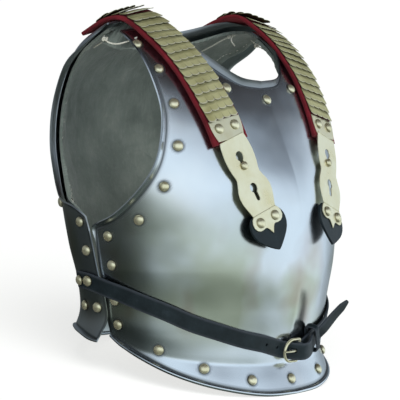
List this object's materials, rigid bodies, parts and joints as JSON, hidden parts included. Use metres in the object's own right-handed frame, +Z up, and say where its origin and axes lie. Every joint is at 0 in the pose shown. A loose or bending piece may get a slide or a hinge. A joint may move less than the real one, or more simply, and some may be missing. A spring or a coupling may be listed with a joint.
{
  "type": "cuirass",
  "caption": "Steel cuirass of a ridged breast plate and a back plate, joined by brass-scaled shoulder straps and a buckled leather waist belt, standing by itself.",
  "frame": {"origin": "under the middle of the bounding box, on the floor the cuirass stands on", "axes": "+X to the wearer's left, -Y to the front, +Z up; the wearer's upright leans back 10.8 degrees so that both lower rims stand on the floor"},
  "size_m": [0.3808, 0.35, 0.4133],
  "materials": {
    "steel": "hand-polished steel with cloudy reflections and light stains; its riveted domes are brass",
    "brass": "pale aged brass, satin",
    "scale_brass": "tarnished olive-gold brass with rubbed edges",
    "felt": "dark crimson wool felt",
    "leather": "blue-black belt leather, worn at the edges",
    "canvas": "grey-green quilted canvas"
  },
  "bodies": {
    "root": {"breastplate": "steel", "backplate": "steel", "breast_lining": "canvas", "back_lining": "canvas", "strap_felt_right": "felt", "strap_felt_left": "felt", "end_plate_right": "brass", "end_plate_left": "brass", "strap_tip_right": "leather", "strap_tip_left": "leather", "stud_right": "brass", "stud_left": "brass", "scale_right_01": "scale_brass", "scale_left_01": "scale_brass", "scale_right_02": "scale_brass", "scale_left_02": "scale_brass", "scale_right_03": "scale_brass", "scale_left_03": "scale_brass", "scale_right_04": "scale_brass", "scale_left_04": "scale_brass", "scale_right_05": "scale_brass", "scale_left_05": "scale_brass", "scale_right_06": "scale_brass", "scale_left_06": "scale_brass", "scale_right_07": "scale_brass", "scale_left_07": "scale_brass", "scale_right_08": "scale_brass", "scale_left_08": "scale_brass", "scale_right_09": "scale_brass", "scale_left_09": "scale_brass", "scale_right_10": "scale_brass", "scale_left_10": "scale_brass", "scale_right_11": "scale_brass", "scale_left_11": "scale_brass", "scale_right_12": "scale_brass", "scale_left_12": "scale_brass", "scale_right_13": "scale_brass", "scale_left_13": "scale_brass", "scale_right_14": "scale_brass", "scale_left_14": "scale_brass", "scale_right_15": "scale_brass", "scale_left_15": "scale_brass", "scale_right_16": "scale_brass", "scale_left_16": "scale_brass", "scale_right_17": "scale_brass", "scale_left_17": "scale_brass", "scale_right_18": "scale_brass", "scale_left_18": "scale_brass", "belt_right": "leather", "belt_left": "leather", "buckle_frame": "brass", "buckle_prong": "brass", "belt_keeper": "leather", "belt_rivet_1_right": "brass", "belt_rivet_1_left": "brass", "belt_rivet_2_right": "brass", "belt_rivet_2_left": "brass"}
  },
  "joints": []
}
